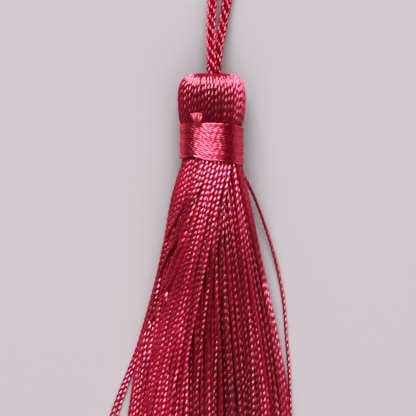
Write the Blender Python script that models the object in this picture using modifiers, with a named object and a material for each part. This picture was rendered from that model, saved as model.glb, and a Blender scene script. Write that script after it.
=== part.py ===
"""A silk tassel lying on its side: a ribbed head of folded yarn with its skirt of strands, the wound band
round the neck, and a twisted hanging cord whose two legs leave the top of the head.

Metres. +Z is up and z = 0 is the surface that the tassel lies on. The tassel's axis runs along Y, with the
cord at +Y and the skirt at -Y. The origin is the middle of the flat patch under the head."""

import math
import random

import bmesh
import bpy
from mathutils import Vector

# Head and neck
AXIS_HEIGHT = 0.00575  # the tassel's axis above the surface, at the head
HEAD_DEPTH_SHARE = 0.92  # the head is a little flatter than it is wide
HEAD_RIBS = 56  # yarns side by side round the head
RIB_HEIGHT = 0.00014
NECK_END = -0.0129
# Sections of the head from the neck's end, over the shoulders, to the floor of the cord's socket
HEAD_SECTIONS = (
    # along, radius, ribbed
    (NECK_END, 0.0, 0.0),
    (NECK_END, 0.00540, 0.0),
    (-0.00510, 0.00540, 0.0),
    (-0.00470, 0.00595, 1.0),
    (-0.00370, 0.00645, 1.0),
    (-0.00140, 0.00662, 1.0),
    (0.00060, 0.00657, 1.0),
    (0.00210, 0.00620, 1.0),
    (0.00320, 0.00545, 1.0),
    (0.00410, 0.00425, 0.8),
    (0.00450, 0.00310, 0.5),
    (0.00430, 0.00260, 0.0),
    (0.00310, 0.00240, 0.0),
    (0.00310, 0.0, 0.0),
)

# Band of wound yarn
BAND_TURNS = 12
BAND_TOP = -0.00545
BAND_BOTTOM = -0.01215
BAND_INNER = 0.00574
BAND_OUTER = 0.00628
BAND_RIDGE = 0.00020  # how far each turn stands out
BAND_DEPTH_SHARE = 0.90
BAND_SLOPE = -0.070  # of the lowest turn, downhill towards +X; the highest turn is level
BAND_SIDES = 30

# Skirt
YARN_RADIUS = 0.00034
COLUMN_PITCH = 0.000163  # between neighbouring columns of strands where they leave the neck
ROW_PITCH = 0.00270  # between the strands of one column there
STAGGER = 0.6180  # of a row, from one column to the next, so that no two neighbours line up
ROOT_HALF_WIDTH = 0.00500
ROOT_HALF_DEPTH = 0.00445
LOCKS = 7  # the strands draw together into this many loose locks
TIP_SPREAD = 0.0024  # how unevenly the strands end
EDGE_SHORTER = 0.0022  # the outer strands end higher
SKIRT_SEED = 11
# Sections of the skirt. "fanned" goes from the neck's round section to a heap lying on the surface.
SKIRT_SECTIONS = (
    # along, left, right, thickness, fanned, locked, yarn
    (-0.01140, -0.00490, 0.00500, 0.0089, 0.00, 0.00, 0.72),
    (-0.01500, -0.00565, 0.00570, 0.0090, 0.10, 0.02, 0.86),
    (-0.02100, -0.00720, 0.00735, 0.0084, 0.55, 0.08, 1.00),
    (-0.03300, -0.00935, 0.00960, 0.0076, 0.97, 0.16, 1.00),
    (-0.04700, -0.01300, 0.01355, 0.0062, 1.00, 0.24, 1.00),
    (-0.06200, -0.01590, 0.01490, 0.0054, 1.00, 0.28, 1.00),
    (-0.07550, -0.01630, 0.01510, 0.0050, 1.00, 0.30, 1.00),
)
# Strands that stray from the skirt, each as its route from the neck to its tip
STRAY_STEP = 0.0060
STRAYS = {
    "right": (
        # sideways, along, height
        (0.00515, -0.01140, 0.00560),
        (0.00530, -0.01290, 0.00550),
        (0.00640, -0.01560, 0.00460),
        (0.00840, -0.01960, 0.00330),
        (0.01080, -0.02600, 0.00180),
        (0.01290, -0.03300, 0.00090),
        (0.01430, -0.04000, 0.00050),
        (0.01490, -0.04700, 0.00040),
        (0.01560, -0.05700, 0.00025),
        (0.01600, -0.07420, 0.00018),
    ),
    "left_outer": (
        (-0.00515, -0.01140, 0.00500),
        (-0.00530, -0.01290, 0.00480),
        (-0.00635, -0.01540, 0.00390),
        (-0.00790, -0.02100, 0.00250),
        (-0.01010, -0.03300, 0.00060),
        (-0.01385, -0.04700, 0.00025),
        (-0.01590, -0.05300, 0.00018),
        (-0.01945, -0.06200, 0.00018),
        (-0.02290, -0.07350, 0.00018),
    ),
    "left_inner": (
        (-0.00515, -0.01140, 0.00640),
        (-0.00530, -0.01290, 0.00625),
        (-0.00630, -0.01540, 0.00555),
        (-0.00780, -0.02100, 0.00400),
        (-0.01000, -0.03300, 0.00180),
        (-0.01370, -0.04700, 0.00110),
        (-0.01530, -0.05250, 0.00070),
        (-0.01855, -0.06200, 0.00022),
        (-0.02185, -0.07410, 0.00018),
    ),
}

# Hanging cord, folded into a loop
CORD_RADIUS = 0.00112
CORD_VALLEY_RADIUS = 0.00080
CORD_LAY = 0.0070  # along the cord for one whole turn of its plies
CORD_STEPS_A_LAY = 8
# The loop's centreline from one end in the head round to the other
CORD_ROUTE = (
    # sideways, along, height
    (0.00005, 0.00350, 0.00680),
    (0.00000, 0.00660, 0.00668),
    (-0.00010, 0.01000, 0.00590),
    (-0.00010, 0.01400, 0.00440),
    (0.00010, 0.01800, 0.00290),
    (0.00045, 0.02300, 0.00170),
    (0.00000, 0.03200, 0.00120),
    (-0.00140, 0.04400, 0.00120),
    (-0.00235, 0.05600, 0.00120),
    (-0.00215, 0.06600, 0.00120),
    (-0.00060, 0.07180, 0.00120),
    (0.00240, 0.07440, 0.00120),
    (0.00550, 0.07190, 0.00120),
    (0.00720, 0.06600, 0.00120),
    (0.00755, 0.05600, 0.00120),
    (0.00690, 0.04400, 0.00120),
    (0.00540, 0.03200, 0.00120),
    (0.00365, 0.02300, 0.00120),
    (0.00265, 0.01700, 0.00150),
    (0.00195, 0.01300, 0.00250),
    (0.00140, 0.01000, 0.00360),
    (0.00105, 0.00660, 0.00455),
    (0.00100, 0.00350, 0.00470),
)

SILK = (0.30, 0.016, 0.045, 1.0)
SILK_ROUGHNESS = 0.42


def new_collection(name):
    collection = bpy.data.collections.new(name)
    bpy.context.scene.collection.children.link(collection)
    return collection


def silk_material(name, colour):
    material = bpy.data.materials.new(name)
    material.use_nodes = True
    shader = material.node_tree.nodes["Principled BSDF"]
    shader.inputs["Base Color"].default_value = colour
    shader.inputs["Roughness"].default_value = SILK_ROUGHNESS
    shader.inputs["Metallic"].default_value = 0.0
    material.diffuse_color = colour
    return material


def evaluated_mesh(source):
    """The object's mesh with its modifiers or bevel applied, and its caps welded to its sides."""
    bpy.context.view_layer.update()
    graph = bpy.context.evaluated_depsgraph_get()
    mesh = bpy.data.meshes.new_from_object(source.evaluated_get(graph))
    shaped = bmesh.new()
    shaped.from_mesh(mesh)
    bmesh.ops.remove_doubles(shaped, verts=shaped.verts, dist=1e-6)
    bmesh.ops.recalc_face_normals(shaped, faces=shaped.faces)
    shaped.to_mesh(mesh)
    shaped.free()
    return mesh


def turned(name, profile, closed, sides, collection):
    """A body turned about the Y axis from a profile of (along, radius) points, as a mesh object."""
    mesh = bpy.data.meshes.new(name + "_profile")
    count = len(profile)
    edges = [(i, i + 1) for i in range(count - 1)] + ([(count - 1, 0)] if closed else [])
    mesh.from_pydata([(radius, along, 0.0) for along, radius in profile], edges, [])
    guide = bpy.data.objects.new(name + "_profile", mesh)
    collection.objects.link(guide)
    screw = guide.modifiers.new("turn", "SCREW")
    screw.axis = "Y"
    screw.steps = sides
    screw.render_steps = sides
    screw.use_merge_vertices = True
    screw.merge_threshold = 1e-6
    body = bpy.data.objects.new(name, evaluated_mesh(guide))
    body.data.name = name
    bpy.data.objects.remove(guide)
    collection.objects.link(body)
    return body


def merge_end_face(mesh, along):
    """Makes the fan of triangles that closes the body at this place one flat face."""
    shaped = bmesh.new()
    shaped.from_mesh(mesh)
    fan = [face for face in shaped.faces if all(abs(v.co.y - along) < 1e-6 for v in face.verts)]
    bmesh.ops.dissolve_faces(shaped, faces=fan, use_verts=True)
    shaped.to_mesh(mesh)
    shaped.free()


def ribbed_share(along):
    """How far the ribs stand out at this place along the head, from 0 to 1."""
    rows = [row for row in HEAD_SECTIONS if abs(row[0] - along) < 1e-6]
    return max(row[2] for row in rows)


def make_head(collection, material):
    """The head and neck: ribs run along it, and it is flat where it rests."""
    profile = [(along, radius) for along, radius, ribbed in HEAD_SECTIONS]
    head = turned("head_and_skirt", profile, False, 2 * HEAD_RIBS, collection)
    for vertex in head.data.vertices:
        x, y, z = vertex.co
        radius = math.hypot(x, z)
        if radius > 2 * BAND_RIDGE:
            angle = math.atan2(z, x)
            rib = RIB_HEIGHT * ribbed_share(y) * math.cos(HEAD_RIBS * angle)
            x, z = (x * (1 + rib / radius), z * (1 + rib / radius))
        z = z * HEAD_DEPTH_SHARE + AXIS_HEIGHT
        vertex.co = (x, y, max(z, 0.0))
    merge_end_face(head.data, NECK_END)
    head.data.materials.append(material)
    return head


def make_band(collection, material):
    """The wound band, one closed ring whose outside is ridged by its turns."""
    pitch = (BAND_TOP - BAND_BOTTOM) / BAND_TURNS
    profile = [(BAND_TOP, BAND_INNER)]
    for turn in range(BAND_TURNS):
        start = BAND_TOP - turn * pitch
        profile.append((start, BAND_OUTER - BAND_RIDGE))
        profile.append((start - pitch / 2, BAND_OUTER))
    profile += [(BAND_BOTTOM, BAND_OUTER - BAND_RIDGE), (BAND_BOTTOM, BAND_INNER)]
    band = turned("band", profile, True, BAND_SIDES, collection)
    for vertex in band.data.vertices:
        x, y, z = vertex.co
        slope = BAND_SLOPE * (BAND_TOP - y) / (BAND_TOP - BAND_BOTTOM)
        vertex.co = (x, y + slope * x, z * BAND_DEPTH_SHARE + AXIS_HEIGHT)
    band.data.materials.append(material)
    return band


def regular_profile(name, radii, turn, collection):
    """A closed flat curve with one point at each radius, evenly round, for a strand's or a cord's section."""
    curve = bpy.data.curves.new(name, "CURVE")
    curve.dimensions = "2D"
    spline = curve.splines.new("POLY")
    spline.points.add(len(radii) - 1)
    for i, radius in enumerate(radii):
        angle = turn + 2 * math.pi * i / len(radii)
        spline.points[i].co = (radius * math.cos(angle), radius * math.sin(angle), 0.0, 1.0)
    spline.use_cyclic_u = True
    profile = bpy.data.objects.new(name, curve)
    profile.hide_render = True
    collection.objects.link(profile)
    return profile


def swept(name, routes, profile, collection):
    """One mesh object that sweeps the profile along each route of (place, radius, tilt) points."""
    curve = bpy.data.curves.new(name + "_routes", "CURVE")
    curve.dimensions = "3D"
    curve.twist_mode = "Z_UP"
    curve.bevel_mode = "OBJECT"
    curve.bevel_object = profile
    curve.use_fill_caps = True
    for route in routes:
        spline = curve.splines.new("POLY")
        spline.points.add(len(route) - 1)
        for point, (place, radius, tilt) in zip(spline.points, route):
            point.co = (*place, 1.0)
            point.radius = radius
            point.tilt = tilt
    guide = bpy.data.objects.new(name + "_routes", curve)
    collection.objects.link(guide)
    body = bpy.data.objects.new(name, evaluated_mesh(guide))
    body.data.name = name
    bpy.data.objects.remove(guide)
    collection.objects.link(body)
    return body


def root_places():
    """Places (across, deep), each from -1 to 1, of the strands in the neck: staggered columns in an ellipse."""
    places = []
    columns = int(ROOT_HALF_WIDTH / COLUMN_PITCH)
    rows = math.ceil(ROOT_HALF_DEPTH / ROW_PITCH)
    for column in range(-columns, columns + 1):
        across = column * COLUMN_PITCH / ROOT_HALF_WIDTH
        half = math.sqrt(max(0.0, 1 - across * across))
        for row in range(-rows - 1, rows + 1):
            deep = (row + column * STAGGER % 1.0) * ROW_PITCH / ROOT_HALF_DEPTH
            if abs(deep) <= half:
                places.append((across, deep))
    return places


def strand_point(across, deep, section):
    """Where a strand passes one section: round at the neck, and stacked up from the surface further down."""
    along, left, right, thickness, fanned, locked, yarn = section
    drawn = across + locked * math.sin(LOCKS * math.pi * across) / (LOCKS * math.pi)
    x = left + (right - left) * (drawn + 1) / 2
    column = math.sqrt(max(0.0, 1 - across * across))
    neck_z = AXIS_HEIGHT + deep * thickness / 2
    heap_z = YARN_RADIUS / 2 + (deep + column) * thickness / 2
    return Vector((x, along, neck_z + (heap_z - neck_z) * fanned)), yarn


def skirt_routes():
    """Every strand's route as (place, radius, tilt) points, each strand ending at its own length."""
    rng = random.Random(SKIRT_SEED)
    routes = []
    for across, deep in root_places():
        route = [(*strand_point(across, deep, section), 0.0) for section in SKIRT_SECTIONS]
        shorter = EDGE_SHORTER * across**4 + TIP_SPREAD * rng.random()
        before, tip = route[-2][0], route[-1][0]
        route[-1] = (tip + (before - tip).normalized() * shorter, route[-1][1], 0.0)
        routes.append(route)
    root_yarn = SKIRT_SECTIONS[0][-1]
    for stray in STRAYS.values():
        places = smooth_route([Vector(place) for place in stray], STRAY_STEP)
        routes.append([(place, 1.0 if i else root_yarn, 0.0) for i, place in enumerate(places)])
    return routes


def smooth_route(points, step):
    """Evenly spaced places on a smooth curve through the given points."""
    fine = []
    ends = [2 * points[0] - points[1], *points, 2 * points[-1] - points[-2]]
    for before, start, end, after in zip(ends, ends[1:], ends[2:], ends[3:]):
        for i in range(24):
            t = i / 24
            fine.append(
                0.5
                * (
                    2 * start
                    + (end - before) * t
                    + (2 * before - 5 * start + 4 * end - after) * t**2
                    + (3 * start - before - 3 * end + after) * t**3
                )
            )
    fine.append(points[-1])
    lengths = [0.0]
    for start, end in zip(fine, fine[1:]):
        lengths.append(lengths[-1] + (end - start).length)
    count = round(lengths[-1] / step)
    places = []
    at = 0
    for i in range(count + 1):
        wanted = lengths[-1] * i / count
        while at < len(fine) - 2 and lengths[at + 1] < wanted:
            at += 1
        share = (wanted - lengths[at]) / (lengths[at + 1] - lengths[at])
        places.append(fine[at].lerp(fine[at + 1], min(1.0, share)))
    return places


def make_cord(collection, guides, material):
    """The hanging loop: three plies, so a three-lobed section that turns along the cord."""
    lobes = [CORD_RADIUS, CORD_VALLEY_RADIUS] * 3
    profile = regular_profile("cord_section", lobes, 0.0, guides)
    places = smooth_route([Vector(point) for point in CORD_ROUTE], CORD_LAY / CORD_STEPS_A_LAY)
    turn = 2 * math.pi / CORD_STEPS_A_LAY
    route = [(place, 1.0, turn * i) for i, place in enumerate(places)]
    cord = swept("hanging_cord", [route], profile, collection)
    cord.data.materials.append(material)
    return cord


def make_skirt(head, guides):
    """Joins the skirt's strands to the neck that they hang from."""
    sides = regular_profile("strand_section", [YARN_RADIUS] * 3, math.pi / 2, guides)
    strands = swept("strands", skirt_routes(), sides, guides)
    strands.hide_render = True
    strands.display_type = "WIRE"
    join = head.modifiers.new("strands", "BOOLEAN")
    join.operation = "UNION"
    join.object = strands
    print(len(root_places()) + len(STRAYS), "strands")


def main():
    for obj in list(bpy.data.objects):
        bpy.data.objects.remove(obj)
    tassel = new_collection("silk_tassel")
    guides = new_collection("guides")
    silk = silk_material("crimson_silk", SILK)
    head = make_head(tassel, silk)
    make_skirt(head, guides)
    make_band(tassel, silk_material("band_silk", SILK))
    make_cord(tassel, guides, silk_material("cord_silk", SILK))
    for obj in tassel.objects:
        obj.data.shade_smooth()
        obj.data.set_sharp_from_angle(angle=math.radians(35))


main()
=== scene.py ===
import math

import bpy
import numpy as np
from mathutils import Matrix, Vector


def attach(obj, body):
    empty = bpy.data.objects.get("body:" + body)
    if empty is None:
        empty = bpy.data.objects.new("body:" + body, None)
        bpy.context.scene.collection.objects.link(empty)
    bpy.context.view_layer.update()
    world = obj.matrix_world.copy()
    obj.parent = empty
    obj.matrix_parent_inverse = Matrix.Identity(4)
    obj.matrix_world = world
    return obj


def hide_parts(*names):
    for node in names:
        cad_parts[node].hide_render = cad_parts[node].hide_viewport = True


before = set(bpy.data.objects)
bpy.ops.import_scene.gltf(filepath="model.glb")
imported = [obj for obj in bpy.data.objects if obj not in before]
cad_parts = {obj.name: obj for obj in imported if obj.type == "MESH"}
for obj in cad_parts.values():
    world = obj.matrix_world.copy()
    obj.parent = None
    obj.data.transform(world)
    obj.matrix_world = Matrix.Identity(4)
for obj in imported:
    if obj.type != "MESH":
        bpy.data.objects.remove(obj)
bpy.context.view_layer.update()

mm = 0.001
fullTurn = 2 * math.pi
fineSteps = 7  # rings in one turn of a yarn's plies
plySides = 6
axisHeight = 5.75 * mm  # of the tassel's middle above the floor


def smoothStep(t):
    t = np.clip(t, 0.0, 1.0)
    return t * t * (3 - 2 * t)


def throughPoints(points, count):
    # evenly spaced places on a smooth curve through a few points: (points, 3) in, (count, 3) out
    points = np.asarray(points, float)
    ends = np.vstack([2 * points[0] - points[1], points, 2 * points[-1] - points[-2]])
    perSpan = 40
    t = np.linspace(0, 1, perSpan, endpoint=False)[:, None]
    fine = []
    for a, b, c, d in zip(ends, ends[1:], ends[2:], ends[3:]):
        fine.append(0.5 * (2 * b + (c - a) * t + (2 * a - 5 * b + 4 * c - d) * t**2
                           + (3 * b - a - 3 * c + d) * t**3))
    fine = np.vstack(fine + [points[-1:]])
    length = np.concatenate([[0], np.cumsum(np.linalg.norm(np.diff(fine, axis=0), axis=1))])
    wanted = np.linspace(0, length[-1], count)
    return np.stack([np.interp(wanted, length, fine[:, i]) for i in range(3)], axis=1)


def resample(paths, count):
    # the same for many paths of one size at once: (strands, points, 3) in, (strands, count, 3) out
    before, after = 2 * paths[:, :1] - paths[:, 1:2], 2 * paths[:, -1:] - paths[:, -2:-1]
    ends = np.concatenate([before, paths, after], axis=1)
    at = np.linspace(0, paths.shape[1] - 1, count)
    i = np.minimum(at.astype(int), paths.shape[1] - 2)
    t = (at - i)[None, :, None]
    a, b, c, d = ends[:, i], ends[:, i + 1], ends[:, i + 2], ends[:, i + 3]
    return 0.5 * (2 * b + (c - a) * t + (2 * a - 5 * b + 4 * c - d) * t**2
                  + (3 * b - a - 3 * c + d) * t**3)


def frames(paths):
    # steady frames along each path, carried from ring to ring with no twist of their own
    tangent = np.gradient(paths, axis=1)
    tangent /= np.linalg.norm(tangent, axis=2, keepdims=True)
    side = np.empty_like(paths)
    start = np.zeros_like(tangent[:, 0])
    start[:, 2] = 1.0
    upright = np.abs(tangent[:, 0, 2]) > 0.9
    start[upright] = (0.0, 1.0, 0.0)
    for k in range(paths.shape[1]):
        start = start - (start * tangent[:, k]).sum(1, keepdims=True) * tangent[:, k]
        start /= np.linalg.norm(start, axis=1, keepdims=True)
        side[:, k] = start
    return side, np.cross(tangent, side), tangent


def distanceAlong(paths):
    steps = np.linalg.norm(np.diff(paths, axis=1), axis=2)
    return np.concatenate([np.zeros((len(paths), 1)), np.cumsum(steps, axis=1)], axis=1)


def yarnTubes(name, paths, radii, lay, around, phase, shade, waist=0.46):
    # one mesh of many yarns: a section of two lobes that turns along each path (strands, rings, 3)
    strands, rings = paths.shape[:2]
    side, over, tangent = frames(paths)
    along = distanceAlong(paths)
    lay = np.broadcast_to(np.asarray(lay, float), (strands,))
    turn = phase[:, None] + fullTurn * along / lay[:, None]
    radii = np.broadcast_to(radii, (strands, rings))
    corner = fullTurn * np.arange(around) / around
    lobeRoundness = 0.85
    section = np.maximum(np.abs(np.cos(corner)) ** lobeRoundness, waist)
    angle = turn[:, :, None] + corner
    reach = radii[:, :, None] * section
    verts = (paths[:, :, None] + (reach * np.cos(angle))[..., None] * side[:, :, None]
             + (reach * np.sin(angle))[..., None] * over[:, :, None])
    body = verts.reshape(strands, rings * around, 3)
    tipLength = 0.5  # in radii
    tips = np.stack([paths[:, 0] - tangent[:, 0] * radii[:, :1] * tipLength,
                     paths[:, -1] + tangent[:, -1] * radii[:, -1:] * tipLength], axis=1)
    allVerts = np.concatenate([body, tips], axis=1)
    size = rings * around + 2
    k, j = np.meshgrid(np.arange(rings - 1), np.arange(around), indexing="ij")
    nextJ = (j + 1) % around
    quads = np.stack([k * around + j, k * around + nextJ,
                      (k + 1) * around + nextJ, (k + 1) * around + j], -1).reshape(-1, 4)
    ring = np.arange(around)
    first = np.stack([np.full(around, size - 2), (ring + 1) % around, ring], -1)
    last = np.stack([np.full(around, size - 1), (rings - 1) * around + ring,
                     (rings - 1) * around + (ring + 1) % around], -1)
    tris = np.concatenate([first, last])
    offset = (np.arange(strands) * size)[:, None, None]
    quads = (quads[None] + offset).reshape(-1, 4)
    tris = (tris[None] + offset).reshape(-1, 3)
    mesh = bpy.data.meshes.new(name)
    mesh.vertices.add(strands * size)
    mesh.vertices.foreach_set("co", allVerts.reshape(-1))
    corners = np.concatenate([quads.reshape(-1), tris.reshape(-1)])
    mesh.loops.add(len(corners))
    mesh.loops.foreach_set("vertex_index", corners.astype(np.int32))
    starts = np.concatenate([np.arange(len(quads)) * 4, len(quads) * 4 + np.arange(len(tris)) * 3])
    mesh.polygons.add(len(starts))
    mesh.polygons.foreach_set("loop_start", starts.astype(np.int32))
    mesh.update(calc_edges=True)
    # the UV map: u runs round the section, v along the yarn in millimetres
    u = np.tile(np.concatenate([np.tile(corner / fullTurn, rings), [0.0, 0.0]]), strands)
    v = np.concatenate([np.repeat(along, around, axis=1), along[:, :1], along[:, -1:]], axis=1)
    uv = np.stack([u[corners], v.reshape(-1)[corners] / mm], -1)
    closing = (nextJ.reshape(-1) == 0)[:, None] & np.array([[False, True, True, False]])
    wrapped = np.zeros(len(corners), bool)
    wrapped[:len(quads) * 4] = np.tile(closing, (strands, 1)).reshape(-1)
    uv[wrapped, 0] = 1.0
    layer = mesh.uv_layers.new(name="alongYarn")
    layer.uv.foreach_set("vector", uv.reshape(-1).astype(np.float32))
    tone = mesh.attributes.new("tone", "FLOAT", "POINT")
    rows = np.broadcast_to(shade.reshape(strands, -1), (strands, rings))
    values = np.concatenate([np.repeat(rows, around, axis=1), rows[:, :1], rows[:, -1:]], axis=1)
    tone.data.foreach_set("value", values.reshape(-1).astype(np.float32))
    mesh.polygons.foreach_set("use_smooth", np.ones(len(starts), bool))
    mesh.update()
    piece = bpy.data.objects.new(name, mesh)
    bpy.context.scene.collection.objects.link(piece)
    return piece


plies = {
    "offset": (0.40, -0.12),  # of a ply's middle, in yarn radii, and what a full squash adds
    "thickness": (0.61, 0.10),  # its radius, the same way
    "unevenWaves": (2.3 * mm, 5.9 * mm),
    "untwisted": 1000.0,  # metres: a round ply needs no turning of its own
}


def pliedYarns(name, paths, radii, lay, around, phase, shade, squash=0.0, uneven=0.5):
    # each yarn as two round plies laid round each other; squash sinks them into one another
    strands, rings = paths.shape[:2]
    side, over, _ = frames(paths)
    along = distanceAlong(paths)
    phase = phase[:, None]
    turn = phase + fullTurn * along / np.asarray(lay, float).reshape(-1, 1)
    shortWave, longWave = plies["unevenWaves"]
    turn += uneven * (np.sin(along / shortWave + 3 * phase) + np.sin(along / longWave + 7 * phase))
    radii = np.broadcast_to(radii, (strands, rings))
    offset = radii * (plies["offset"][0] + plies["offset"][1] * squash)
    thick = radii * (plies["thickness"][0] + plies["thickness"][1] * squash)
    out = np.cos(turn)[..., None] * side + np.sin(turn)[..., None] * over
    both = np.concatenate([paths + offset[..., None] * out, paths - offset[..., None] * out])
    return yarnTubes(name, both, np.concatenate([thick, thick]), plies["untwisted"], around,
                     phase=np.zeros(2 * strands), shade=np.concatenate([shade, shade]), waist=1.0)


view = {
    "frameWidth": 83.2 * mm,
    "middle": (-0.7 * mm, -22.0 * mm),
    "distance": 600 * mm,
    "sensor": 36.0,
    "nearest": 0.01,
}
studio = {
    "keyPower": 434.0, "keyPlace": (-0.35, 2.91, 2.27), "keySize": (2.56, 4.2),
    "fillPower": 140.0, "fillPlace": (0.1, -0.5, 2.2), "fillSize": (4.0, 4.0),
    "aim": (0, -0.02, 0.004),
    "air": 0.06, "airColour": (0.92, 0.94, 1.0, 1.0),
    "floorSize": 8.0, "floorBelow": 0.02 * mm, "floorColour": (0.163, 0.153, 0.159, 1.0),
    "floorRoughness": 0.9, "floorGloss": 0.1,
}


def placeCamera():
    lens = bpy.data.cameras.new("camera")
    lens.sensor_width = view["sensor"]
    lens.lens = view["sensor"] * view["distance"] / view["frameWidth"]
    lens.clip_start = view["nearest"]
    camera = bpy.data.objects.new("camera", lens)
    camera.location = (*view["middle"], view["distance"])
    bpy.context.scene.collection.objects.link(camera)
    bpy.context.scene.camera = camera
    print("camera placed")


def areaLight(name, power, place, size):
    light = bpy.data.lights.new(name, "AREA")
    light.shape = "RECTANGLE"
    light.size, light.size_y = size
    light.energy = power
    lamp = bpy.data.objects.new(name, light)
    lamp.location = place
    lamp.rotation_euler = (Vector(studio["aim"]) - Vector(place)).to_track_quat("-Z", "Y").to_euler()
    bpy.context.scene.collection.objects.link(lamp)
    return lamp


def lightStudio():
    areaLight("keyLight", studio["keyPower"], studio["keyPlace"], studio["keySize"])
    fill = areaLight("fillLight", studio["fillPower"], studio["fillPlace"], studio["fillSize"])
    fill.visible_glossy = False  # only the key shows in the silk's gloss
    world = bpy.data.worlds.new("studioAir")
    world.use_nodes = True
    air = world.node_tree.nodes["Background"]
    air.inputs["Color"].default_value = studio["airColour"]
    air.inputs["Strength"].default_value = studio["air"]
    bpy.context.scene.world = world
    bpy.context.scene.view_settings.view_transform = "Standard"
    bpy.context.scene.view_settings.look = "High Contrast"
    print("studio lit")


def layFloor():
    bpy.ops.object.select_all(action="DESELECT")
    bpy.ops.mesh.primitive_plane_add(size=studio["floorSize"], location=(0, 0, -studio["floorBelow"]))
    floor = bpy.context.object
    floor.name = "floor"
    material = bpy.data.materials.new("paleFloor")
    material.use_nodes = True
    shader = material.node_tree.nodes["Principled BSDF"]
    shader.inputs["Base Color"].default_value = studio["floorColour"]
    shader.inputs["Roughness"].default_value = studio["floorRoughness"]
    shader.inputs["Specular IOR Level"].default_value = studio["floorGloss"]
    floor.data.materials.append(material)
    print("floor laid")


silks = {
    # deep and full colour, how strong the gloss is, share of it that takes the silk's own colour
    "skirt": ((0.14, 0.0001, 0.007, 1.0), (0.33, 0.006, 0.036, 1.0), 3.25, 0.48),
    # the head's full colour is reached mostly on its flanks: the colour of their painted reflection
    "head": ((0.13, 0.0001, 0.006, 1.0), (0.28, 0.012, 0.046, 1.0), 2.75, 0.54),
    # the band's pink full colour is reached mostly where its tone is painted: the colour of its painted
    # highlight and reflection
    "band": ((0.14, 0.0008, 0.010, 1.0), (0.38, 0.046, 0.082, 1.0), 2.2, 0.50),
    "cord": ((0.15, 0.0001, 0.008, 1.0), (0.26, 0.0006, 0.016, 1.0), 2.25, 0.48),
    "core": ((0.10, 0.003, 0.008, 1.0), (0.22, 0.008, 0.02, 1.0), 1.6, 0.3),
}
silkFinish = {
    "roughness": 0.44, "specular": 1.0, "specularTint": (1.0, 0.46, 0.60, 1.0), "anisotropic": 0.9,
    "sheen": 0.25, "sheenRoughness": 0.5, "sheenTint": (1.0, 0.04, 0.12, 1.0),  # shows between the yarns
    "filaments": (15.0, 0.5, 1.0),  # fine across, long along the yarn
    "filamentDetail": 2.0, "filamentTone": 0.5, "darkest": 0.35,  # the darkest, as a share of the deep colour
    "bumpStrength": 0.6, "bumpHeight": 0.05 * mm,
}


def silkMaterial(name, deep, full, gloss, tinted):
    material = bpy.data.materials.new(name)
    material.use_nodes = True
    tree = material.node_tree
    shader = tree.nodes["Principled BSDF"]
    shader.inputs["Roughness"].default_value = silkFinish["roughness"]
    shader.inputs["Metallic"].default_value = tinted
    shader.inputs["Specular IOR Level"].default_value = silkFinish["specular"]
    shader.inputs["Specular Tint"].default_value = silkFinish["specularTint"]
    shader.inputs["Sheen Weight"].default_value = silkFinish["sheen"]
    shader.inputs["Sheen Roughness"].default_value = silkFinish["sheenRoughness"]
    shader.inputs["Sheen Tint"].default_value = silkFinish["sheenTint"]
    shader.inputs["Anisotropic"].default_value = silkFinish["anisotropic"]
    shader.inputs["IOR"].default_value = gloss
    across = tree.nodes.new("ShaderNodeTangent")  # the gloss spreads across the filaments
    across.direction_type = "UV_MAP"
    across.uv_map = "alongYarn"
    tree.links.new(across.outputs["Tangent"], shader.inputs["Tangent"])
    tone = tree.nodes.new("ShaderNodeAttribute")
    tone.attribute_name = "tone"
    uv = tree.nodes.new("ShaderNodeUVMap")
    uv.uv_map = "alongYarn"
    stretch = tree.nodes.new("ShaderNodeMapping")
    stretch.inputs["Scale"].default_value = silkFinish["filaments"]
    noise = tree.nodes.new("ShaderNodeTexNoise")
    noise.inputs["Scale"].default_value = 1.0
    noise.inputs["Detail"].default_value = silkFinish["filamentDetail"]
    tree.links.new(uv.outputs["UV"], stretch.inputs["Vector"])
    tree.links.new(stretch.outputs["Vector"], noise.inputs["Vector"])
    mixed = tree.nodes.new("ShaderNodeMath")
    mixed.operation = "MULTIPLY_ADD"
    mixed.inputs[1].default_value = silkFinish["filamentTone"]
    tree.links.new(noise.outputs["Fac"], mixed.inputs[0])
    tree.links.new(tone.outputs["Fac"], mixed.inputs[2])
    ramp = tree.nodes.new("ShaderNodeValToRGB")
    ramp.color_ramp.elements[0].position = 0.0
    ramp.color_ramp.elements[0].color = tuple(silkFinish["darkest"] * part for part in deep[:3]) + (1.0,)
    ramp.color_ramp.elements[1].position = 1.0
    ramp.color_ramp.elements[1].color = full
    middle = ramp.color_ramp.elements.new(0.5)
    middle.color = deep
    tree.links.new(mixed.outputs[0], ramp.inputs["Fac"])
    tree.links.new(ramp.outputs["Color"], shader.inputs["Base Color"])
    bump = tree.nodes.new("ShaderNodeBump")
    bump.inputs["Strength"].default_value = silkFinish["bumpStrength"]
    bump.inputs["Distance"].default_value = silkFinish["bumpHeight"]
    tree.links.new(noise.outputs["Fac"], bump.inputs["Height"])
    tree.links.new(bump.outputs["Normal"], shader.inputs["Normal"])
    return material


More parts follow.
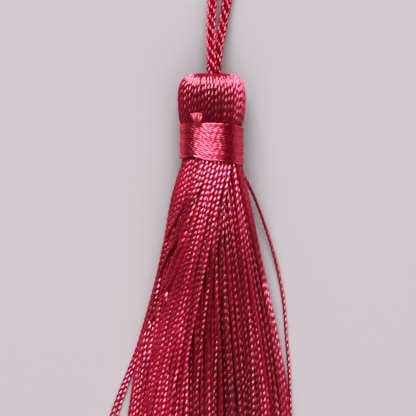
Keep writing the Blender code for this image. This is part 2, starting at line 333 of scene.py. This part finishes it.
skirt = {
    "yarnRadius": 0.415 * mm,
    "packing": 0.79 * mm,  # how close two yarns' middles lie
    "neckPacking": 0.66 * mm,  # the same where the band squeezes them
    "lay": 2.5 * mm,
    "neckHalfWidth": 5.5 * mm,
    "neckHalfDepth": 5.0 * mm,
    "neckRings": (0.74 * mm, 0.70 * mm),  # between yarns along a ring, and between rings
    "neckEnds": 12.0 * mm,  # how far down the band lets go of the yarns
    "loosenedOver": 3.5 * mm,
    "fallenOver": 9 * mm,
    "start": -11.0 * mm,
    "end": -75.5 * mm,
    "slices": 44,
    "held": 2,  # slices gripped by the band
    "rounds": 360,
    "lastRounds": 80,
    "smoothedRounds": 74,
    "combedBy": 0.6,  # share of the rounds
    "pull": (0.06, 0.10),  # each round, share of the way to its aim: sideways, up
    "letGo": (0.6, 0.6, 0.3),  # how much of that pull ends, from which share of the rounds, over which share
    "stiffness": (0.45, 0.4),  # while it settles, in the last rounds
    "pressed": 0.85,  # share of the way that two yarns part in one round
    "neighbours": 34,  # in order across, how many of them may press on a yarn
    "sweptAbove": (0.60, 0.14),  # of the neck's half depth, then over how much of it the sweep begins
    "sweptBetween": ((-0.5, 0.16), (0.92, 0.14)),  # the same, across
    "unevenAcross": 0.03,
    "wander": 0.5 * mm,
    "wanderWaves": (1.0, 2.3, 4.1),
    "wanderGrows": 0.5,  # over this share of the length
    "partingWidth": 0.8 * mm,
    "partingPull": 0.35,
    "grooveWidth": 0.55 * mm,
    "heapCurve": 0.8,
    "edgeCurve": (3.4, 0.6),
    "edgeRoom": 0.4 * mm,
    "bandRoom": (12 * mm, 20 * mm),  # the walls and the roof stand off by this where the band holds the yarns
    "onFloor": 0.96,  # in radii: a yarn's middle is never lower
    "covering": (0.30 * mm, 0.25 * mm),  # a yarn this near across and this much higher covers another
    "partedAt": (-0.30, 0.02, 0.30),  # where across the neck one piece ends and the next begins
    "tipSpread": 2.4 * mm,
    "edgeShorter": 2.2 * mm,
    "thinnerInBand": ((11.8, 15.0), (0.86, 1.0)),  # share of its thickness so far down in mm
    "thicknessVaries": (0.06, -0.12, 0.10),
    "layVaries": 0.10,
    "looser": ((-0.6, -0.2), (1.0, 1.22)),  # how much longer the lay is, from the left edge to the rest
    "squash": (0.5, 0.25),
    "tone": (0.5, 0.20),
    "paintedLightHigh": ((14.0, 22.0, 34.0), (0.32, 0.22, 0.0)),  # painted light: how much paler the silk is drawn so far down in mm, below the neck where the yarns face the light
    "paintedLightLow": ((-1.0, -0.7, 0.0, 0.6, 1.0), (0.30, 0.26, -0.18, -0.16, 0.12)),  # painted light and shade: the same across, low down, paler at the edges and darker in the middle
    "lowDown": (38.0, 54.0),
    "insideSteps": 4,  # rings in a turn of the yarns that don't show from above
    "seed": 5,
}
# How the skirt is combed: where yarns at several places across the neck lie further down, in mm
combedAcross = (-1.0, -0.6, -0.3, 0.0, 0.3, 0.6, 1.0)
combing = (
    # along, then sideways for each place across
    (-12.4, -5.9, -3.7, -1.8, 0.0, 1.8, 3.7, 5.9),
    (-20.4, -7.7, -4.9, -2.3, 0.1, 2.5, 5.1, 7.6),
    (-28.4, -9.2, -6.0, -2.8, 0.3, 3.1, 6.1, 8.9),
    (-36.4, -10.8, -7.1, -3.4, 0.2, 3.6, 7.3, 10.6),
    (-44.4, -12.7, -7.8, -3.3, 0.7, 4.8, 8.9, 12.8),
    (-52.4, -14.8, -9.2, -3.7, 0.9, 5.6, 10.0, 14.4),
    (-63.6, -16.4, -10.0, -3.8, 1.2, 6.3, 11.0, 15.5),
    (-75.5, -17.2, -10.4, -3.7, 1.5, 6.7, 11.4, 15.6),
)
# The uppermost yarns are swept to the left over the ones beneath them
sweptAcross = (-0.45, -0.2, 0.05, 0.3, 0.5, 0.75)
sweeping = (
    (-12.4, -2.6, -1.2, 0.3, 1.7, 2.9, 4.4),
    (-19.4, -4.5, -3.3, -1.9, -0.5, 1.0, 3.4),
    (-26.4, -6.1, -4.8, -3.3, -1.8, -0.2, 2.6),
    (-40.4, -10.2, -8.8, -7.2, -5.3, -3.5, 0.6),
    (-50.4, -13.8, -12.4, -10.5, -7.9, -5.6, -0.4),
    (-63.6, -16.4, -15.2, -13.0, -10.6, -7.8, -1.0),
    (-75.5, -17.4, -16.0, -13.6, -11.2, -8.2, -1.2),
)
# Where the skirt parts into locks: along, then sideways of each parting, then how deep they all are there
furrows = (
    (-26.0, -6.6, -2.6, 1.3, 4.6, 0.0),
    (-34.4, -8.3, -3.6, 1.4, 6.0, 0.3),
    (-44.4, -10.3, -5.0, 1.5, 8.1, 0.6),
    (-54.4, -12.3, -6.5, 1.9, 10.3, 0.8),
    (-63.6, -13.6, -6.9, 2.2, 11.9, 1.0),
    (-75.5, -14.3, -7.1, 2.4, 12.8, 1.1),
)
# How high the skirt's top is
crest = (
    # along, height in mm
    (-11.0, 10.9), (-12.6, 11.2), (-15.0, 12.0), (-19.0, 12.6), (-24.0, 12.3), (-30.0, 10.9), (-40.0, 8.6),
    (-52.0, 7.0), (-63.0, 5.9), (-75.5, 4.9),
)


def neckPlaces():
    # the yarns under the band lie in rings, side by side
    places = []
    a, b = skirt["neckHalfWidth"], skirt["neckHalfDepth"]
    spacing, step = skirt["neckRings"]
    ring = 0
    while b > 0:
        around = math.pi * (3 * (a + b) - math.sqrt((3 * a + b) * (a + 3 * b)))  # the ellipse's girth
        count = max(1, int(around / spacing))
        turn = fullTurn * (np.arange(count) + 0.5 * (ring % 2)) / count
        places.append(np.stack([a * np.cos(turn), b * np.sin(turn)], -1))
        a, b, ring = a - step, b - step, ring + 1
    return np.vstack(places)


def byPlace(table, placesAcross, across, along):
    # reads a combing table for every yarn at every slice
    rows = np.array(table) * mm
    columns = np.stack([np.interp(-along, -rows[:, 0], rows[:, 1 + i]) for i in range(len(placesAcross))])
    return np.stack([np.interp(across, placesAcross, columns[:, k]) for k in range(len(along))], axis=1)


def partYarns(x, z, needed):
    # pushes apart any two yarns that lie closer than they are thick, in every slice at once
    order = np.argsort(x, axis=0)
    xs = np.take_along_axis(x, order, 0)
    zs = np.take_along_axis(z, order, 0)
    moveX, moveZ = np.zeros_like(xs), np.zeros_like(zs)
    for k in range(1, skirt["neighbours"]):
        dx, dz = xs[k:] - xs[:-k], zs[k:] - zs[:-k]
        apart = np.sqrt(dx * dx + dz * dz) + 1e-9
        push = np.maximum(0.0, needed - apart) * 0.5 / apart * skirt["pressed"]
        moveX[k:] += push * dx
        moveX[:-k] -= push * dx
        moveZ[k:] += push * dz
        moveZ[:-k] -= push * dz
    movedX, movedZ = np.zeros_like(x), np.zeros_like(z)
    np.put_along_axis(movedX, order, moveX, 0)
    np.put_along_axis(movedZ, order, moveZ, 0)
    return x + movedX, z + movedZ


def evenOut(path, strength):
    path[:, 1:-1] += strength * (0.5 * (path[:, :-2] + path[:, 2:]) - path[:, 1:-1])


def settleSkirt():
    # lets the combed yarns lie side by side and on each other, none through another
    rng = np.random.default_rng(skirt["seed"])
    places = neckPlaces()
    count = len(places)
    along = np.linspace(skirt["start"], skirt["end"], skirt["slices"])
    across = places[:, 0] / skirt["neckHalfWidth"]
    deep = places[:, 1] / skirt["neckHalfDepth"]
    spread = skirt["unevenAcross"]
    uneven = np.clip(across + rng.normal(0, spread, count), -1 - spread, 1 + spread)
    straight = byPlace(combing, combedAcross, across, along)
    target = byPlace(combing, combedAcross, uneven, along)
    swept = byPlace(sweeping, sweptAcross, uneven, along)
    # the yarns that lie uppermost in the neck, but not those at its two edges, are the swept ones
    (above, upOver), ((left, leftOver), (right, rightOver)) = skirt["sweptAbove"], skirt["sweptBetween"]
    upper = smoothStep((deep - above) / upOver)
    upper = upper * smoothStep((right - across) / rightOver) * smoothStep((across - left) / leftOver)
    target += upper[:, None] * (swept - target)
    rows = np.array(furrows) * mm
    lines = np.stack([np.interp(-along, -rows[:, 0], rows[:, i]) for i in range(1, 5)])
    sunk = np.interp(-along, -rows[:, 0], rows[:, 5])
    for line in lines:
        off = target - line
        target += np.sign(off) * np.exp(-np.abs(off) / skirt["partingWidth"]) * skirt["partingPull"] * sunk
    # each yarn also wanders a little on its own
    t = np.linspace(0, 1, len(along))
    grown = smoothStep(t / skirt["wanderGrows"])
    for waves in skirt["wanderWaves"]:
        strength = rng.normal(0, skirt["wander"] / waves, count)[:, None]
        target += strength * np.sin(fullTurn * (waves * t + rng.random(count)[:, None])) * grown
    radius = skirt["yarnRadius"]
    belowBand = -along - skirt["neckEnds"]
    loosened = smoothStep(belowBand / skirt["loosenedOver"])
    needed = (skirt["neckPacking"] + (skirt["packing"] - skirt["neckPacking"]) * loosened)[None]
    # heights: each yarn keeps its level in the heap, whose top follows the crest
    heights = np.array(crest) * mm
    top = np.interp(-along, -heights[:, 0], heights[:, 1])
    column = np.sqrt(np.clip(1 - across**2, 0.0004, 1))  # never quite nothing
    level = np.clip(0.5 * (deep + column) / column, 0, 1)
    fallen = smoothStep(belowBand / skirt["fallenOver"])
    low = axisHeight - skirt["neckHalfDepth"] * column[:, None]
    low = low + (radius - low) * fallen
    neckHigh = axisHeight + column[:, None] * (top - axisHeight)
    heapHigh = radius + (top - radius) * column[:, None] ** skirt["heapCurve"]
    high = neckHigh + (heapHigh - neckHigh) * fallen
    zAim = low + level[:, None] * (high - low)
    edges = byPlace(combing, combedAcross, np.array([-1.0, 1.0]), along)
    (flat, steep), (wallRoom, roofRoom) = skirt["edgeCurve"], skirt["bandRoom"]
    x, z = straight.copy(), zAim.copy()

    def roof(x):
        # the heap's top falls away towards both edges of the skirt
        off = np.clip((x - edges.mean(0)) / (0.5 * (edges[1] - edges[0]) + skirt["edgeRoom"]), -1, 1)
        ceiling = radius + (top - 2 * radius) * (1 - np.abs(off) ** flat) ** steep * loosened
        ceiling = ceiling + roofRoom * (1 - loosened)
        for line in lines:
            ceiling = ceiling - sunk * np.exp(-((x - line) / skirt["grooveWidth"]) ** 2)
        return np.maximum(ceiling, radius)

    def walls(x):
        # no yarn goes past the skirt's edges
        room = wallRoom * (1 - loosened)
        return np.clip(x, edges[0] - room, edges[1] + room)

    held = skirt["held"]
    xRoot = places[:, :1] + np.zeros((1, held))
    zRoot = axisHeight + places[:, 1:] + np.zeros((1, held))

    def pressed(x, z):
        x, z = partYarns(x, z, needed)
        x, z = walls(x), np.clip(z, radius * skirt["onFloor"], roof(x))
        x[:, :held], z[:, :held] = xRoot, zRoot
        return x, z

    pullX, pullZ = skirt["pull"]
    ends, endsFrom, endsOver = skirt["letGo"]
    stiff, stiffLast = skirt["stiffness"]
    for i in range(skirt["rounds"]):
        share = smoothStep(i / (skirt["combedBy"] * skirt["rounds"]))
        hold = 1 - ends * smoothStep((i / skirt["rounds"] - endsFrom) / endsOver)
        x += pullX * hold * (straight + (target - straight) * share - x)
        z += pullZ * hold * (zAim - z)
        for path in (x, z):
            bend = np.zeros_like(path)
            bend[:, 1:-1] = 0.5 * (path[:, :-2] + path[:, 2:]) - path[:, 1:-1]
            bend[:, -1] = (2 * path[:, -2] - path[:, -3] - path[:, -1]) * 0.5
            path += stiff * bend
        x[:, :held], z[:, :held] = xRoot, zRoot
        x, z = pressed(x, z)
    for i in range(skirt["lastRounds"]):
        if i < skirt["smoothedRounds"]:
            evenOut(x, stiffLast)
            evenOut(z, stiffLast)
        x, z = pressed(x, z)
    return x, z, along, across


def exposure(x, z):
    # True for yarns that lie uncovered somewhere, seen from above
    seen = np.zeros(len(x), bool)
    near, higher = skirt["covering"]
    for k in range(x.shape[1]):
        dx = np.abs(x[:, k][:, None] - x[:, k][None])
        dz = z[:, k][None] - z[:, k][:, None]
        above = ((dx < near) & (dz > higher)).sum(1)
        seen |= above == 0
    return seen


def skirtPaintedLight(paths):
    # painted light and shade: paler below the neck and along the left edge, darker in the middle of the lower
    # half
    sideways, down = paths[..., 0] / mm, -paths[..., 1] / mm
    rows = np.array(combing)
    side = sideways / np.interp(down, -rows[:, 0], rows[:, -1])
    low = smoothStep((down - skirt["lowDown"][0]) / (skirt["lowDown"][1] - skirt["lowDown"][0]))
    return np.interp(down, *skirt["paintedLightHigh"]) + low * np.interp(side, *skirt["paintedLightLow"])


def makeSkirt(material):
    x, z, along, across = settleSkirt()
    seen = exposure(x, z)
    print("skirt settled:", len(x), "yarns,", int(seen.sum()), "uncovered")
    rng = np.random.default_rng(skirt["seed"] + 1)
    paths = np.stack([x, np.broadcast_to(along, x.shape), z], -1)
    # each yarn ends at its own length
    shorter = rng.random(len(x)) * skirt["tipSpread"] + skirt["edgeShorter"] * np.abs(across) ** 4
    scale = (skirt["end"] - skirt["start"] + shorter) / (skirt["end"] - skirt["start"])
    at = np.linspace(0, 1, len(along))[None] * scale[:, None] * (len(along) - 1)
    i = np.minimum(at.astype(int), len(along) - 2)
    part = (at - i)[..., None]
    rowsAt = np.arange(len(x))[:, None]
    paths = paths[rowsAt, i] * (1 - part) + paths[rowsAt, i + 1] * part
    length = abs(skirt["end"] - skirt["start"])
    spread, least, most = skirt["thicknessVaries"]
    thick = skirt["yarnRadius"] * (1 + np.clip(rng.normal(0, spread, len(x)), least, most))
    loose = np.interp(paths[:, -1, 0] / (-combing[-1][1] * mm), *skirt["looser"])
    lay = skirt["lay"] * loose * (1 + rng.normal(0, skirt["layVaries"], len(x)))
    phase = rng.random(len(x)) * fullTurn
    shade = np.clip(rng.normal(*skirt["tone"], len(x)), 0, 1)
    flat = np.clip(rng.normal(*skirt["squash"], (len(x), 1)), 0, 1)
    left, middle, right = skirt["partedAt"]
    groups = {
        "skirtLeft": seen & (across < left),
        "skirtMiddleLeft": seen & (across >= left) & (across < middle),
        "skirtMiddleRight": seen & (across >= middle) & (across < right),
        "skirtRight": seen & (across >= right),
        "skirtInside": ~seen,
    }
    for name, chosen in groups.items():
        steps = fineSteps if name != "skirtInside" else skirt["insideSteps"]
        rings = int(length / skirt["lay"] * steps) + 1
        fine = resample(paths[chosen], rings)
        grow = np.interp(-fine[..., 1] / mm, *skirt["thinnerInBand"]) * thick[chosen][:, None]
        # each yarn's own random tone plus the painted light and shade
        tone = shade[chosen][:, None] + skirtPaintedLight(fine)
        if name == "skirtInside":
            piece = yarnTubes(name, fine, grow, lay[chosen], plySides, phase[chosen], tone)
        else:
            piece = pliedYarns(name, fine, grow, lay[chosen], plySides, phase[chosen], tone,
                               squash=flat[chosen])
        piece.data.materials.append(material)
        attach(piece, "root")
        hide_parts("head_and_skirt")
        print(name, int(chosen.sum()), "yarns")


cord = {
    "diameter": 2.2 * mm,
    "lay": 7.0 * mm,  # one turn of its three plies
    "plyOffset": 0.585 * mm,
    "yarnLay": 2.1 * mm,  # one turn of the three yarns in a ply
    "yarnOffset": 0.268 * mm,
    "yarnRadius": 0.255 * mm,
    "yarnSides": 8,
    "filamentLay": 1.6 * mm,
    "roundness": 0.82,
    "firstTurn": 0.6,
    "phases": 6.0,  # in radians: each yarn starts turned by anything up to this
    "tones": (0.3, 0.7),
    "step": 0.26 * mm,
    "seed": 3,
}
# From the hole in the head, round the loop and back, in metres
cordRoute = (
    (0.00005, 0.00350, 0.00680), (0.00000, 0.00660, 0.00668), (-0.00010, 0.01000, 0.00590),
    (-0.00010, 0.01400, 0.00440), (0.00010, 0.01800, 0.00290), (0.00045, 0.02300, 0.00170),
    (0.00000, 0.03200, 0.00120), (-0.00140, 0.04400, 0.00120), (-0.00235, 0.05600, 0.00120),
    (-0.00215, 0.06600, 0.00120), (-0.00060, 0.07180, 0.00120), (0.00240, 0.07440, 0.00120),
    (0.00550, 0.07190, 0.00120), (0.00720, 0.06600, 0.00120), (0.00755, 0.05600, 0.00120),
    (0.00690, 0.04400, 0.00120), (0.00540, 0.03200, 0.00120), (0.00365, 0.02300, 0.00120),
    (0.00265, 0.01700, 0.00150), (0.00195, 0.01300, 0.00250), (0.00140, 0.01000, 0.00360),
    (0.00105, 0.00660, 0.00455), (0.00100, 0.00350, 0.00470),
)


def lengthOf(path):
    return float(np.linalg.norm(np.diff(path, axis=0), axis=1).sum())


def makeCord(material):
    # three plies laid one way round, each of three yarns laid the other way round
    pointsMeasured = 400
    length = lengthOf(throughPoints(cordRoute, pointsMeasured))
    centre = throughPoints(cordRoute, int(length / cord["step"]))[None]
    side, over, _ = frames(centre)
    s = np.linspace(0, length, centre.shape[1])
    yarns = []
    for ply in range(3):
        angle = (-fullTurn * s / cord["lay"] + fullTurn * ply / 3 + cord["firstTurn"])[None, :, None]
        out = np.cos(angle) * side + np.sin(angle) * over
        plyPath = centre + cord["plyOffset"] * out
        along = np.gradient(plyPath, axis=1)
        along /= np.linalg.norm(along, axis=2, keepdims=True)
        across = np.cross(along, out)
        across /= np.linalg.norm(across, axis=2, keepdims=True)
        for yarn in range(3):
            turn = (fullTurn * s / cord["yarnLay"] + fullTurn * yarn / 3 + ply)[None, :, None]
            yarns.append(plyPath + cord["yarnOffset"] * (np.cos(turn) * np.cross(across, along)
                                                         + np.sin(turn) * across))
    yarns = np.concatenate(yarns)
    rng = np.random.default_rng(cord["seed"])
    phase, shade = rng.random(len(yarns)) * cord["phases"], rng.uniform(*cord["tones"], len(yarns))
    piece = yarnTubes("hangingCordSilk", yarns, cord["yarnRadius"], cord["filamentLay"], cord["yarnSides"],
                      phase, shade, waist=cord["roundness"])
    piece.data.materials.append(material)
    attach(piece, "root")
    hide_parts("hanging_cord")
    print("cord laid:", round(length, 4), "m")


head = {
    "yarns": 57,
    "lay": 3.1 * mm,
    "yarnRadius": 0.40 * mm,
    "squash": 0.65,
    "below": (3, 0.36 * mm, 5),  # the layer beneath: how many fewer, how much deeper, rings in a turn
    "depthShare": (0.86, 0.94),  # at the band, at the shoulder
    "depthAt": (-5.0 * mm, 2.0 * mm),
    "profileSteps": 70,
    "unevenAngle": 0.08,
    "slant": (0.05, 0.012),
    "slantAbout": 0.4,  # share of the length where a slanting yarn keeps its place
    "wander": 0.012,
    "wanderWaves": 1.3,
    "crowded": 0.60,  # by the hole a yarn's radius is this share of its room
    "proud": 0.04 * mm,
    "proudFrom": (-4.7 * mm, 2 * mm),  # where it begins and over how far
    "dip": 0.22 * mm,  # every other yarn goes under its neighbours by the hole
    "dipFrom": (3.0 * mm, 1.2 * mm),
    "dipShort": 0.3,  # share of the dip by which such a yarn also ends lower
    "phases": 6.28,
    "layVaries": 0.06,
    "tone": (0.12, 0.08),
    "paler": ((-6.8, -3.5, 1.5, 6.5), (0.45, 0.0, 0.0, 0.75)),  # painted reflection on the flanks: across in mm, tone that is added
    "seed": 8,
    "coreInset": 0.85 * mm,
    "coreSides": 48,
    "coreLowest": 0.3 * mm,  # clear of the floor
}
# The head's outside from the neck over the shoulder to the hole that the cord comes out of
headProfile = (
    # along, radius in mm
    (-9.5, 5.30), (-7.0, 5.45), (-5.7, 6.00), (-4.9, 6.36), (-3.6, 6.58), (-1.4, 6.74), (0.4, 6.74),
    (1.8, 6.55), (2.9, 6.10), (3.75, 5.30), (4.2, 4.30), (4.35, 3.30), (4.3, 2.70), (3.8, 2.25), (2.6, 2.0),
)


def foldedYarns(name, count, inset, rng, steps):
    # yarns side by side from inside the band up over the shoulder and into the cord's hole
    profile = np.array(headProfile) * mm
    outline = np.stack([profile[:, 1], profile[:, 0], 0 * profile[:, 0]], -1)
    line = throughPoints(outline, head["profileSteps"])
    radius, along = line[:, 0] - inset, line[:, 1]
    angle = fullTurn * (np.arange(count) + rng.normal(0, head["unevenAngle"], count)) / count
    t = np.linspace(0, 1, len(line))[None]
    slant = rng.normal(*head["slant"], count)[:, None]
    wander = rng.normal(0, head["wander"], (count, 1))
    wander = wander * np.sin(fullTurn * (head["wanderWaves"] * t + rng.random((count, 1))))
    turned = angle[:, None] + slant * (t - head["slantAbout"]) + wander
    spacing = fullTurn * radius / count
    thick = np.minimum(head["yarnRadius"], spacing * head["crowded"])[None] * np.ones((count, 1))
    (proudFrom, proudOver), (dipFrom, dipOver) = head["proudFrom"], head["dipFrom"]
    proud = rng.normal(0, head["proud"], (count, 1)) * smoothStep((along - proudFrom) / proudOver)
    dip = np.where(np.arange(count) % 2, head["dip"], 0.0)[:, None] * smoothStep((along - dipFrom) / dipOver)
    outer = radius[None] - thick + proud - dip
    x = outer * np.sin(turned)
    depth = np.interp(along, head["depthAt"], head["depthShare"])
    z = axisHeight + depth * outer * np.cos(turned)
    z = np.maximum(z, thick)
    paths = np.stack([x, np.broadcast_to(along, x.shape) - head["dipShort"] * dip, z], -1)
    fine = resample(paths, int(lengthOf(line) / skirt["lay"] * steps))
    size = resample(np.repeat(thick[..., None], 3, 2), fine.shape[1])[..., 0]
    lay = head["lay"] * (1 + rng.normal(0, head["layVaries"], count))
    phase, shade = rng.random(count) * head["phases"], np.clip(rng.normal(*head["tone"], count), 0, 1)
    # painted reflection: the head's flanks drawn paler, most on the right
    tone = shade[:, None] + np.interp(fine[..., 0] / mm, *head["paler"])
    return pliedYarns(name, fine, size, lay, plySides, phase, tone, squash=head["squash"])


def makeHead(material, coreMaterial):
    rng = np.random.default_rng(head["seed"])
    fewer, deeper, steps = head["below"]
    outside = foldedYarns("headYarns", head["yarns"], 0.0, rng, fineSteps)
    inside = foldedYarns("headYarnsBelow", head["yarns"] - fewer, deeper, rng, steps)
    for piece in (outside, inside):
        piece.data.materials.append(material)
        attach(piece, "root")
        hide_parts("head_and_skirt")
    makeCore(coreMaterial)
    print("head folded over")


def makeCore(material):
    # the yarns inside the head, a plain dark body under the outer ones
    sections = [(along * mm, radius * mm - head["coreInset"]) for along, radius in headProfile]
    slab = 0.2 * mm  # the cylinder that the core is drawn out of
    bpy.ops.object.select_all(action="DESELECT")
    bpy.ops.mesh.primitive_cylinder_add(vertices=head["coreSides"], radius=sections[0][1], depth=slab,
                                        end_fill_type="NGON", location=(0, sections[0][0], axisHeight),
                                        rotation=(math.pi / 2, 0, 0))
    core = bpy.context.object
    core.name = "headCore"
    bpy.ops.object.transform_apply(location=True, rotation=True, scale=True)
    bpy.ops.object.mode_set(mode="EDIT")
    bpy.ops.mesh.select_mode(type="FACE")
    bpy.ops.mesh.select_all(action="DESELECT")
    bpy.ops.object.mode_set(mode="OBJECT")
    cap = max(core.data.polygons, key=lambda face: face.center.y)
    cap.select = True
    bpy.ops.object.mode_set(mode="EDIT")
    last = (sections[0][0] + slab / 2, sections[0][1])
    for along, radius in sections[1:]:
        bpy.ops.mesh.extrude_region_move(TRANSFORM_OT_translate={"value": (0, along - last[0], 0)})
        share = radius / last[1]
        bpy.ops.transform.resize(value=(share, 1, share), center_override=(0, along, axisHeight))
        last = (along, radius)
    bpy.ops.mesh.select_all(action="SELECT")
    bpy.ops.transform.resize(value=(1, 1, head["depthShare"][0]), center_override=(0, 0, axisHeight))
    bpy.ops.mesh.normals_make_consistent(inside=False)
    bpy.ops.object.mode_set(mode="OBJECT")
    for vertex in core.data.vertices:
        vertex.co.z = max(vertex.co.z, head["coreLowest"])
    bpy.ops.object.shade_smooth()
    core.data.materials.append(material)
    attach(core, "root")
    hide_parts("head_and_skirt")


band = {
    "turns": 20.3,
    "starts": -0.25,  # in turns: its hidden end
    "pitch": 0.33 * mm,
    "top": -5.90 * mm,
    "halfWidth": 6.02 * mm,
    "halfDepth": 5.42 * mm,
    "yarnRadius": 0.30 * mm,
    "lay": 2.7 * mm,
    "step": 0.24 * mm,
    "squash": 0.25,
    "unevenLay": 1.2,
    "unevenOut": ((0.31, 0.77, 1.9, 3.1), 0.006),  # waves in a turn, then how strong they are
    "unevenAlong": ((0.43, 1.13, 2.7, 4.3), 0.018 * mm),
    "slope": (0.02, 0.06, 0.05),  # of the first turn, added by the last, added far right
    "farRight": 1.0 * mm,
    "startRise": 0.35 * mm,
    "crossing": (-3.4 * mm, 1.5 * mm, 0.5 * mm, 0.05),  # of the last turn: where, width, rise, share it lifts
    "crossingFrom": (1.5, 0.25),  # how many turns before the end, and over what part of one
    # across in mm, tone: painted highlight in the pale middle, painted reflection of the floor on the pale
    # sides, painted shade in the darker stripes between them
    "tone": ((-6.0, -4.6, -3.6, -2.9, 0.6, 2.9, 3.8, 5.3), (0.95, 0.16, 0.16, 1.0, 1.0, 0.18, 0.16, 1.0)),
    "seed": 4,
}


def waver(t, rng, waves, size):
    # a smooth uneven line: a few slow waves of random strength
    total = np.zeros_like(t)
    for wave in waves:
        total += rng.normal(0, size) * np.sin(fullTurn * wave * t + rng.random() * 6.28)
    return total


def makeBand(material):
    rng = np.random.default_rng(band["seed"])
    turns = band["turns"]
    length = turns * math.pi * (band["halfWidth"] + band["halfDepth"])
    u = np.linspace(band["starts"], turns, int(length / band["step"]))
    angle = fullTurn * u
    low = smoothStep(u / turns)
    out = 1 + waver(u, rng, *band["unevenOut"])
    x = band["halfWidth"] * out * np.sin(angle)
    z = axisHeight + band["halfDepth"] * out * np.cos(angle)
    y = band["top"] - band["pitch"] * u + waver(u, rng, *band["unevenAlong"])
    first, more, farRight = band["slope"]
    y -= (first + more * low) * x + farRight * np.maximum(x - band["farRight"], 0)
    y += band["startRise"] * (1 - low) * np.cos(angle)
    # the last turn comes up over the one before it on the lower left
    place, width, rise, lifted = band["crossing"]
    before, over = band["crossingFrom"]
    last = smoothStep((u - (turns - before)) / over)
    hump = last * np.exp(-((x - place) / width) ** 2) * (np.cos(angle) > 0)
    y += rise * hump
    lift = 1 + lifted * hump
    x, z = x * lift, axisHeight + (z - axisHeight) * lift
    path = np.stack([x, y, np.maximum(z, band["yarnRadius"])], -1)[None]
    # painted light on the band: highlight in the middle, shaded stripes, the floor's reflection on both
    # sides, set by place across
    tone = np.interp(path[..., 0] / mm, *band["tone"])
    piece = pliedYarns("bandWraps", path, band["yarnRadius"], np.full(1, band["lay"]), plySides, np.zeros(1),
                       tone, squash=band["squash"], uneven=band["unevenLay"])
    piece.data.materials.append(material)
    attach(piece, "root")
    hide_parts("band")
    print("band wound:", round(length, 3), "m of yarn")


# Yarns that lie away from the skirt, in mm
strays = {
    "right": ((5.15, -11.4, 5.6), (5.3, -12.9, 5.5), (6.4, -15.6, 4.6), (8.4, -19.6, 3.3),
              (10.8, -26.0, 1.8), (12.9, -33.0, 0.9), (14.3, -40.0, 0.5), (14.9, -47.0, 0.4),
              (15.6, -57.0, 0.35), (16.0, -74.2, 0.34)),
    "leftOuter": ((-5.15, -11.4, 5.0), (-5.3, -12.9, 4.8), (-6.35, -15.4, 3.9), (-7.9, -21.0, 2.5),
                  (-10.1, -33.0, 0.7), (-13.85, -47.0, 0.36), (-15.9, -53.0, 0.34), (-19.45, -62.0, 0.34),
                  (-22.9, -73.5, 0.34)),
    "leftInner": ((-5.15, -11.4, 6.4), (-5.3, -12.9, 6.25), (-6.3, -15.4, 5.55), (-7.8, -21.0, 4.0),
                  (-10.0, -33.0, 1.8), (-13.7, -47.0, 1.1), (-15.3, -52.5, 0.8), (-18.55, -62.0, 0.4),
                  (-21.85, -74.1, 0.34)),
}
# Cut ends of the binding yarn that stand out above the band, in mm
cutEnds = (
    ((-2.85, -6.1, 10.5), (-2.9, -5.8, 10.9), (-3.1, -5.4, 11.3), (-3.5, -4.5, 11.35), (-3.9, -3.55, 11.15)),
    ((-2.7, -6.1, 10.5), (-2.75, -5.8, 11.0), (-2.85, -5.4, 11.45), (-3.05, -4.5, 11.5), (-3.3, -3.45, 11.3)),
    ((-2.55, -6.1, 10.5), (-2.55, -5.8, 11.05), (-2.6, -5.4, 11.5), (-2.65, -4.5, 11.55),
     (-2.75, -3.4, 11.35)),
    ((-2.45, -6.1, 10.5), (-2.4, -5.8, 11.05), (-2.35, -5.4, 11.5), (-2.25, -4.5, 11.5), (-2.15, -3.5, 11.3)),
)
looseYarns = {
    "strayRadii": (0.34, 0.41, 0.41),  # in mm
    "strayTones": (0.6, 0.5, 0.55),
    "strayRings": 170,
    "phases": 6.0,
    "endRadii": (0.26, 0.40),  # in mm, from the band to the cut: they flare
    "endLay": 4.0 * mm,
    "endTone": 0.45,
    "endSquash": 0.5,
    "endRings": 24,
    "endSides": 8,
    "seed": 12,
}


def makeStrays(skirtSilk, bandSilk):
    rng = np.random.default_rng(looseYarns["seed"])
    paths = [throughPoints(np.array(points) * mm, looseYarns["strayRings"]) for points in strays.values()]
    radii = np.array(looseYarns["strayRadii"])[:, None] * mm
    count = len(paths)
    piece = pliedYarns("strayYarns", np.array(paths), radii, np.full(count, skirt["lay"]), plySides,
                       rng.random(count) * looseYarns["phases"], np.array(looseYarns["strayTones"]))
    piece.data.materials.append(skirtSilk)
    ends = [throughPoints(np.array(points) * mm, looseYarns["endRings"]) for points in cutEnds]
    count = len(ends)
    flare = np.linspace(*looseYarns["endRadii"], looseYarns["endRings"])[None] * np.ones((count, 1)) * mm
    phase, tone = rng.random(count) * looseYarns["phases"], np.full(count, looseYarns["endTone"])
    tuft = pliedYarns("cutEnds", np.array(ends), flare, np.full(count, looseYarns["endLay"]),
                      looseYarns["endSides"], phase, tone, squash=looseYarns["endSquash"])
    tuft.data.materials.append(bandSilk)
    for each in (piece, tuft):
        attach(each, "root")
        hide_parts("head_and_skirt")
    print("strays and cut ends laid")


placeCamera()
cordSilk = silkMaterial("cordSilk", *silks["cord"])
makeCord(cordSilk)
lightStudio()
layFloor()
skirtSilk = silkMaterial("skirtSilk", *silks["skirt"])
headSilk = silkMaterial("headSilk", *silks["head"])
bandSilk = silkMaterial("bandSilk", *silks["band"])
coreSilk = silkMaterial("coreSilk", *silks["core"])
makeBand(bandSilk)
makeHead(headSilk, coreSilk)
makeStrays(skirtSilk, bandSilk)
makeSkirt(skirtSilk)
